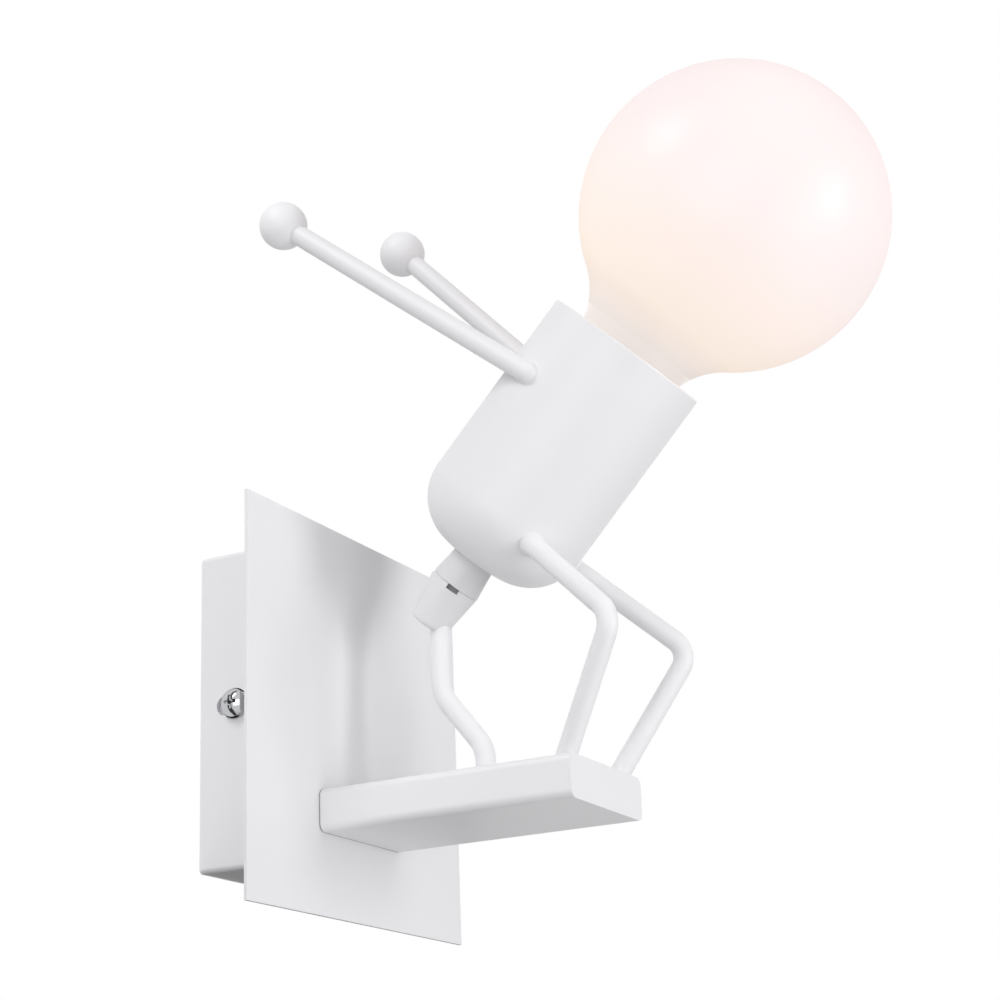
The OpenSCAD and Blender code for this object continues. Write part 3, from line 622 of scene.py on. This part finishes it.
def coat_slot(slot, material):
    """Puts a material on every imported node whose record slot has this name."""
    names = [part["node"] for part in frame["record"]["subparts"]
             if part["material_slot"] == slot]
    if not names:
        raise RuntimeError("no node has the slot " + slot)
    for name in names:
        coat_node(name, material)


def unit(vectors):
    """Vectors of length 1 in the same directions."""
    return vectors / np.linalg.norm(vectors, axis=-1, keepdims=True)


def full_turn(steps):
    """Angles of the steps of one full turn, the last one short of the first."""
    return np.linspace(0.0, 2.0 * np.pi, steps, endpoint=False)


def figure(points):
    """Points of the figure's own axes in the frame of the wall."""
    return PIVOT + np.asarray(points) @ FIGURE_AXES


def about_bulb(turn, radius, height):
    """Points at turns, radii and heights about the bulb's axis, in the frame of the wall.

    Along the bulb's own axes a point is radius * cos(turn), radius * sin(turn) and height.
    """
    own = np.broadcast_arrays(radius * np.cos(turn), radius * np.sin(turn), height)
    return BULB_FOOT + np.stack(own, -1) @ BULB_AXES


def grid_faces(rows, columns, closed_rows, closed_columns):
    """Corner numbers of the quads of a grid, whose last row or column may join its first."""
    r = np.arange(rows if closed_rows else rows - 1)[:, None]
    c = np.arange(columns if closed_columns else columns - 1)[None, :]
    r2, c2 = (r + 1) % rows, (c + 1) % columns
    corners = [r * columns + c, r2 * columns + c, r2 * columns + c2, r * columns + c2]
    return np.stack(corners, -1).reshape(-1, 4)


def turn_outwards(work):
    """Points every face of a closed mesh outwards."""
    bmesh.ops.recalc_face_normals(work, faces=work.faces)


def merge_points(work):
    """Joins the points of a mesh that lie on each other."""
    bmesh.ops.remove_doubles(work, verts=work.verts, dist=SAME_POINT)


def make_object(name, points, faces, material, clean=None):
    """New object at the origin, its place in its mesh, which clean may first work over."""
    mesh = bpy.data.meshes.new(name)
    mesh.from_pydata(points, [], faces)
    if clean:
        work = bmesh.new()
        work.from_mesh(mesh)
        clean(work)
        work.to_mesh(mesh)
        work.free()
    mesh.materials.append(material)
    made = bpy.data.objects.new(name, mesh)
    bpy.context.scene.collection.objects.link(made)
    return made


def put_piece(name, body, slot, material, ring, *bars):
    """One smooth piece from a grid closed both ways, and bars, grids capped at both ends."""
    points, faces, start = [], [], 0
    for grid in (ring, *bars):
        rows, columns = grid.shape[:2]
        points.append(grid.reshape(-1, 3))
        faces += (grid_faces(rows, columns, grid is ring, True) + start).tolist()
        if grid is not ring:
            first = start + np.arange(columns)
            faces += [first.tolist(), (first + (rows - 1) * columns).tolist()]
        start += rows * columns
    piece = make_object(name, np.concatenate(points).tolist(), faces, material, turn_outwards)
    piece.data.shade_smooth()
    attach(piece, body)
    return piece


def nearest_on_rod(points, root, tip):
    """Points of a straight rod's axis nearest to points: projections, held between its ends."""
    way = tip - root
    share = np.clip((points - root) @ way / (way @ way), 0.0, 1.0)
    return root + share[:, None] * way


def weld_bead(root, tip, rod, ball):
    """Bead in the corner between a rod and the round cup, as a ball rolling there would leave it.

    The middle of the ball keeps the distance cup radius + ball from the cup's axis and rod + ball
    from the rod's axis. On the cylinder of the first distance, how far it is from the rod in each
    direction is found by halving an interval for all directions at once. The bead is the arc
    between the ball's two touching points, its edges sunk a little into both metals, and closed
    behind.
    """
    start = root + BEAD_MIDDLE * unit(tip - root)
    angle = full_turn(BEAD_STEPS)
    wide = CUP_RADIUS + ball
    turn = math.atan2(start[1], start[0])

    def middle(reach):
        """Points on the cylinder at a reach from start: sideways round it, and up along it."""
        a = turn + reach * np.cos(angle) / wide
        rise = start[2] + reach * np.sin(angle)
        return np.stack((wide * np.cos(a), wide * np.sin(a), rise), -1)

    low, high = np.zeros(BEAD_STEPS), np.full(BEAD_STEPS, BEAD_SEARCH * rod)
    for _ in range(BEAD_HALVINGS):
        half = (low + high) / 2.0
        at = middle(half)
        inside = np.linalg.norm(at - nearest_on_rod(at, root, tip), axis=-1) < rod + ball
        low, high = np.where(inside, half, low), np.where(inside, high, half)
    at = middle(low)
    to_cup = unit(at * (-1.0, -1.0, 0.0))[:, None]
    to_rod = unit(nearest_on_rod(at, root, tip) - at)[:, None]
    cosine = np.clip((to_cup * to_rod).sum(-1), -LARGEST_COSINE, LARGEST_COSINE)
    swing = np.arccos(cosine)[..., None]
    share = np.linspace(0.0, 1.0, STEPS_ACROSS)[None, :, None]
    arc = np.sin((1.0 - share) * swing) * to_cup + np.sin(share * swing) * to_rod
    sunk = ball + BEAD_SINK * (2.0 * share - 1.0) ** 4
    arc = at[:, None] + arc / np.sin(swing) * sunk
    behind = at[:, None] + BEAD_BACK * ball * unit(to_cup + to_rod)
    return figure(np.concatenate((arc, behind), 1))


def corner_arc(middle, ball, start, end):
    """Profile of a filled corner, as radii and heights.

    It is an arc of the ball's radius about middle, from one angle in degrees to another, closed by
    one point behind.
    """
    angle = np.radians(np.linspace(start, end, STEPS_ACROSS))
    half = math.radians((start + end) / 2.0)
    back = SEAM_BACK * ball
    radius = np.append(middle[0] + ball * np.cos(angle), middle[0] + back * math.cos(half))
    height = np.append(middle[1] + ball * np.sin(angle), middle[1] + back * math.sin(half))
    return radius, height


def carry_round(radius, height, centre, axis):
    """Profile carried round an axis: centre + height along the axis + radius out from it."""
    axis = unit(np.asarray(axis, float))
    first = unit(np.cross(axis, SKEW))
    second = np.cross(axis, first)
    angle = full_turn(SEAM_STEPS)[:, None, None]
    out = np.cos(angle) * first + np.sin(angle) * second
    return np.asarray(centre) + height[None, :, None] * axis + radius[None, :, None] * out


def arm_line(side, lift):
    """Start of an arm at the cup and middle of its hand, in the figure's axes.

    The line leaves the cup's round wall, turned outwards by the splay and upwards by the lift.
    """
    root = np.array((side * math.sqrt(CUP_RADIUS ** 2 - ARM_BACK ** 2), ARM_BACK, ARM_RISE))
    back = math.cos(ARM_SPLAY)
    way = np.array((side * math.sin(ARM_SPLAY), back * math.cos(lift), back * math.sin(lift)))
    return root + ARM_START * way, root + ARM_REACH * way


def leg_line(side):
    """Start of a leg in the cup's wall and corner of its knee, in the figure's axes."""
    hip = np.array((side * HIP_ASIDE, -math.sqrt(CUP_RADIUS ** 2 - HIP_ASIDE ** 2), HIP_RISE))
    knee = np.array((side * KNEE_ASIDE, -KNEE_REACH, HIP_RISE))
    if side > 0.0:
        knee += RIGHT_KNEE_SHIFT
    return hip - HIP_DEPTH * unit(knee - hip), knee


def thread_wave(turn, height, pitch):
    """Rolled thread, 0 on crests and 1 in roots: a cosine that climbs one pitch in each turn."""
    return 0.5 - 0.5 * np.cos(2.0 * np.pi * height / pitch - turn)


def rolled_sheet(turn, outer, wall, height):
    """Closed wall about the bulb's axis: down its outer radii and back up a wall further in."""
    radius = np.concatenate((outer, outer[:, ::-1] - wall), 1)
    return about_bulb(turn, radius, np.concatenate((height, height[:, ::-1]), 1))


class SCONCE_OT_powder_coat(Operator):
    """Gives every painted solid the satin white powder coat."""

    bl_idname = "sconce.powder_coat"
    bl_label = "Powder coat"

    def execute(self, context):
        coat = context.scene.sconce_coat
        coat_slot("white_coat", finish("powder_coat", powder_coat, coat))
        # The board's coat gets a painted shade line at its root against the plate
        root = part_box("board")[1][1]
        coat_node("board", finish("board_coat", powder_coat, coat, root))
        # Darker copies of the coat as painted shade, and a lighter one as painted light
        for name, gain, nodes in SHADED_AND_LIT_COATS:
            material = finish(name, powder_coat, coat, None, gain)
            for node in nodes:
                coat_node(node, material)
        return {"FINISHED"}


class SCONCE_OT_plating(Operator):
    """Gives screws, bracket, nuts and contacts their chrome, zinc and brass."""

    bl_idname = "sconce.plating"
    bl_label = "Plating and brass"

    def execute(self, context):
        metal = context.scene.sconce_metal
        coat_slot("chrome", finish("chrome_plate", chrome_plate, metal))
        coat_slot("zinc", finish("zinc_plate", zinc_plate, metal))
        coat_slot("brass", finish("bare_brass", bare_brass, metal))
        # The ring's dark greys are painted shade for the notch at the knuckle's seam
        coat_node("knuckle_ring", finish("greased_steel", greased_steel))
        return {"FINISHED"}


class SCONCE_OT_fittings(Operator):
    """Gives the terminal block, the lamp holder's body and the leads their own finishes."""

    bl_idname = "sconce.fittings"
    bl_label = "Electrical fittings"

    def execute(self, context):
        coat_slot("nylon", finish("moulded_nylon", moulded_nylon))
        coat_slot("porcelain", finish("glazed_porcelain", glazed_porcelain))
        coat_slot("lead_sleeve", finish("lead_sleeve", lead_sleeve))
        return {"FINISHED"}


class SCONCE_OT_bulb(Operator):
    """Gives the bulb its opal globe, housing, cap, insulator, board and chips."""

    bl_idname = "sconce.bulb"
    bl_label = "Bulb"

    def execute(self, context):
        bulb = context.scene.sconce_bulb
        coat_slot("opal_glass", finish("opal_globe", opal_globe, bulb))
        coat_slot("neck_plastic", finish("housing_plastic", housing_plastic, bulb))
        coat_slot("cap_metal", finish("rolled_cap", rolled_cap, context.scene.sconce_metal))
        coat_slot("cap_insulator", finish("black_glass", black_glass))
        coat_slot("chip_board", finish("chip_board", chip_board))
        coat_slot("chip", finish("phosphor", phosphor))
        return {"FINISHED"}


class SCONCE_OT_threads(Operator):
    """Rolls the threads of the bulb's cap and of the holder's shell."""

    bl_idname = "sconce.threads"
    bl_label = "Threads"

    def execute(self, context):
        bulb = context.scene.sconce_bulb
        turn = full_turn(THREAD_STEPS)[:, None]
        self.cap(turn, bulb)
        self.shell(turn, bulb)
        return {"FINISHED"}

    @staticmethod
    def cap(turn, bulb):
        """Cap whose outer radius is its own, less the fading thread and less the cone below it."""
        height = np.linspace(CAP_TOP, CAP_BOTTOM, CAP_ROWS)[None, :]
        fade = (np.clip((CAP_THREAD_TOP - height) / CAP_THREAD_FADE, 0.0, 1.0)
                * np.clip((height - CAP_THREAD_BOTTOM) / CAP_THREAD_FADE, 0.0, 1.0))
        thread = bulb.thread_depth * fade * thread_wave(turn, height, bulb.pitch)
        cone = np.clip((CAP_CONE_TOP - height) / CAP_CONE_HEIGHT, 0.0, 1.0) * CAP_CONE_DEPTH
        sheet = rolled_sheet(turn, CAP_RADIUS - cone - thread, CAP_WALL, height)
        piece = put_piece("threaded_cap", "bulb", "cap_metal",
                          bpy.data.materials["rolled_cap"], sheet)
        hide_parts("bulb_cap")

    @staticmethod
    def shell(turn, bulb):
        """Shell whose inner radius is its bore less the thread, with half a ring at its bottom."""
        height = np.linspace(SHELL_TOP, SHELL_BOTTOM, SHELL_ROWS)[None, :]
        inner = SHELL_BORE - SHELL_THREAD * thread_wave(turn, height, bulb.pitch)
        sheet = rolled_sheet(turn, inner + SHELL_WALL, SHELL_WALL, height)
        half = np.linspace(0.0, np.pi, RING_STEPS)[:, None]
        radius = np.array((RING_INSIDE, RING_OUTSIDE, RING_OUTSIDE, RING_INSIDE))[None, :]
        rise = np.array((RING_BOTTOM, RING_BOTTOM, RING_TOP, RING_TOP))[None, :]
        piece = put_piece("threaded_shell", "figure", "brass",
                          bpy.data.materials["bare_brass"], sheet, about_bulb(half, radius, rise))
        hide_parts("holder_shell")


class SCONCE_OT_welds(Operator):
    """Lays the weld beads of arms and legs and fills the seams at hands, stem and collar."""

    bl_idname = "sconce.welds"
    bl_label = "Welds and seams"

    def execute(self, context):
        weld, seam = context.scene.sconce_weld.weld, context.scene.sconce_weld.seam
        coat = bpy.data.materials["powder_coat"]
        for side, name in ((-1.0, "left"), (1.0, "right")):
            root, hand = arm_line(side, ARM_LIFT[name])
            bead = weld_bead(root, hand, ARM_RADIUS, weld)
            put_piece("arm_weld_" + name, "figure", "white_coat", coat, bead)

            hip, knee = leg_line(side)
            bead = weld_bead(hip, knee, LEG_RADIUS, weld)
            put_piece("leg_weld_" + name, "figure", "white_coat", coat, bead)

            out = ARM_RADIUS + seam
            far = math.sqrt((HAND_RADIUS + seam) ** 2 - out ** 2)
            end = 180.0 + math.degrees(math.atan2(far, out))
            profile = corner_arc((out, far), seam, 180.0, end)
            filled = carry_round(*profile, figure(hand), unit(root - hand) @ FIGURE_AXES)
            put_piece("hand_seam_" + name, "figure", "white_coat", coat, filled)

        foot = (0.0, STEM_FOOT_Y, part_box("board")[1][2])
        profile = corner_arc((STEM_RADIUS + seam, seam), seam, 180.0, 270.0)
        filled = carry_round(*profile, foot, (0.0, 0.0, 1.0))
        put_piece("stem_seam", "wall_unit", "white_coat", coat, filled)

        profile = corner_arc((COLLAR_RADIUS + seam, -seam), seam, 180.0, 90.0)
        filled = carry_round(*profile, figure((0.0, 0.0, CUP_BOTTOM)), ALONG)
        put_piece("collar_seam", "figure", "white_coat", coat, filled)
        return {"FINISHED"}


class SCONCE_OT_stage(Operator):
    """Sets the camera, four softboxes, a white surround, a pale floor and two shade cards."""

    bl_idname = "sconce.stage"
    bl_label = "Stage"

    def execute(self, context):
        scene = context.scene
        stage = scene.sconce_stage
        scene.view_settings.view_transform = "Standard"
        scene.camera = self.camera(scene, stage)
        self.surround(scene, stage)
        for name, (way, distance, size) in SOFTBOXES.items():
            self.softbox(scene, name + "_softbox", way, distance, size, getattr(stage, name))
        self.floor(stage)
        self.shade_cards()
        return {"FINISHED"}

    @staticmethod
    def camera(scene, stage):
        """Camera at the photograph's place, turned by azimuth, elevation and roll."""
        az, el, roll = stage.azimuth, stage.elevation, stage.roll
        level = math.cos(el)
        back = Vector((math.sin(az) * level, -math.cos(az) * level, math.sin(el)))
        right = Vector((math.cos(az), math.sin(az), 0.0))
        up = back.cross(right)
        rows = (right * math.cos(roll) + up * math.sin(roll),
                up * math.cos(roll) - right * math.sin(roll),
                back)
        data = bpy.data.cameras.new("camera")
        data.sensor_width = SENSOR
        data.lens = stage.lens
        camera = bpy.data.objects.new("camera", data)
        scene.collection.objects.link(camera)
        place = Matrix(rows).transposed().to_4x4()
        place.translation = stage.eye
        camera.matrix_world = place
        return camera

    @staticmethod
    def seen(wire):
        """1 for what the camera sees itself or in metal and glass, 0 for light on the object."""
        camera, metal, glass = [wire.add("ShaderNodeLightPath", output=ray) for ray in (
            "Is Camera Ray", "Is Glossy Ray", "Is Transmission Ray")]
        return camera.larger(metal).larger(glass)

    def surround(self, scene, stage):
        """White all round where it is seen, and on the object a soft light that fades downwards."""
        scene.world = bpy.data.worlds.new("surround")
        wire = blank(scene.world)
        way = wire.add("ShaderNodeTexCoord", output="Generated")
        sky = way.part("Z").step(-SKY_EDGE, SKY_EDGE) * stage.sky
        seen = self.seen(wire)
        light = wire.add("ShaderNodeBackground", None, {
            "Color": WHITE, "Strength": seen + sky * (1.0 - seen)})
        wire.add("ShaderNodeOutputWorld", None, {"Surface": light})

    @staticmethod
    def softbox(scene, name, way, distance, size, power):
        """Softbox of a width and height in the direction way from the figure, facing it."""
        data = bpy.data.lights.new(name, "AREA")
        data.shape = "RECTANGLE"
        data.size, data.size_y = size
        data.energy = power
        way = Vector(way).normalized()
        lamp = bpy.data.objects.new(name, data)
        lamp.location = AIM + way * distance
        lamp.rotation_mode = "QUATERNION"
        lamp.rotation_quaternion = way.to_track_quat("Z", "Y")
        lamp.visible_camera = False
        scene.collection.objects.link(lamp)

    def floor(self, stage):
        """Pale round floor, which fades into the white surround away from the lamp.

        Its points lie on rings about its middle, at reach * cos(turn) and reach * sin(turn), and
        each ring reaches further than the last by the same factor.
        """
        turn = full_turn(FLOOR_STEPS)[:, None]
        rings = np.geomspace(FLOOR_FIRST_RING, FLOOR_LAST_RING, FLOOR_RINGS)
        reach = np.append(0.0, rings)[None, :]
        x, y = reach * np.cos(turn), reach * np.sin(turn) + FLOOR_Y
        points = np.stack((x, y, np.full_like(x, stage.floor)), -1)
        faces = grid_faces(*x.shape, True, False)

        material = bpy.data.materials.new("pale_floor")
        wire = blank(material)
        place = wire.place()
        away = wire.add("ShaderNodeVectorMath", {"operation": "DISTANCE"}, {
            0: place, 1: (0.0, FLOOR_Y, stage.floor)}, "Value")
        pale = place.noise(FLOOR_GRAIN, detail=3.0).blend(*PALE_FLOOR)
        matt = wire.add("ShaderNodeBsdfDiffuse", None, {"Color": pale})
        white = wire.add("ShaderNodeEmission", None, {"Color": WHITE, "Strength": 1.0})
        share = away.step(*FLOOR_FADE) * self.seen(wire)
        mixed = wire.add("ShaderNodeMixShader", None, {0: share, 1: matt, 2: white})
        wire.add("ShaderNodeOutputMaterial", None, {"Surface": mixed})

        floor = make_object("floor", points.reshape(-1, 3).tolist(), faces.tolist(), material,
                            merge_points)

    @staticmethod
    def shade_cards():
        """Two dark cards flat on the wall, out of the camera's sight.

        One below the box keeps light from its underside, as a wall in shade does. One to its left
        is only mirrored, and gives the chrome screw something dark to show.
        """
        material = bpy.data.materials.new("dark_card")
        wire = blank(material)
        dark = wire.place().noise(2.0 * MM, detail=3.0).blend(*DARK_CARD)
        matt = wire.add("ShaderNodeBsdfDiffuse", None, {"Color": dark})
        wire.add("ShaderNodeOutputMaterial", None, {"Surface": matt})

        low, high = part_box("back_box")
        edge = low[2] - CARD_GAP
        for name, left, right, bottom, top, mirrored_only in (
                ("shade_below", -CARD_REACH, CARD_REACH, edge - CARD_REACH, edge, False),
                ("shade_beside", low[0] - CARD_FAR, low[0] - CARD_NEAR, edge,
                 high[2] + CARD_REACH, True)):
            corners = [(left, 0.0, bottom), (right, 0.0, bottom),
                       (right, 0.0, top), (left, 0.0, top)]
            card = make_object(name, corners, [(0, 1, 2, 3)], material)
            card.visible_camera = False
            if mirrored_only:
                card.visible_diffuse = card.visible_shadow = card.visible_transmission = False


STEPS = (SCONCE_OT_powder_coat, SCONCE_OT_plating, SCONCE_OT_fittings, SCONCE_OT_bulb,
         SCONCE_OT_threads, SCONCE_OT_welds, SCONCE_OT_stage)
SETTINGS = {"sconce_coat": CoatSettings, "sconce_metal": MetalSettings,
            "sconce_bulb": BulbSettings, "sconce_weld": WeldSettings,
            "sconce_stage": StageSettings}


class SCONCE_PT_panel(Panel):
    """Settings and steps of the sconce's looks."""

    bl_idname = "SCONCE_PT_panel"
    bl_label = "Wall sconce"
    bl_space_type = "VIEW_3D"
    bl_region_type = "UI"
    bl_category = "Sconce"

    def draw(self, context):
        for name, group in SETTINGS.items():
            box = self.layout.box()
            for key in group.__annotations__:
                box.prop(getattr(context.scene, name), key)
        for step in STEPS:
            self.layout.operator(step.bl_idname)


CLASSES = (*SETTINGS.values(), *STEPS, SCONCE_PT_panel)


def register():
    """Registers the classes and gives each scene the settings."""
    for item in CLASSES:
        bpy.utils.register_class(item)
    for name, group in SETTINGS.items():
        setattr(bpy.types.Scene, name, PointerProperty(type=group))


def unregister():
    """Takes the settings off the scenes and the classes out again."""
    for name in SETTINGS:
        delattr(bpy.types.Scene, name)
    for item in reversed(CLASSES):
        bpy.utils.unregister_class(item)


def main():
    """Registers the classes and runs the steps in order."""
    register()
    bpy.ops.sconce.powder_coat()
    bpy.ops.sconce.plating()
    bpy.ops.sconce.fittings()
    bpy.ops.sconce.bulb()
    bpy.ops.sconce.threads()
    bpy.ops.sconce.welds()
    bpy.ops.sconce.stage()


if __name__ == "__main__":
    main()
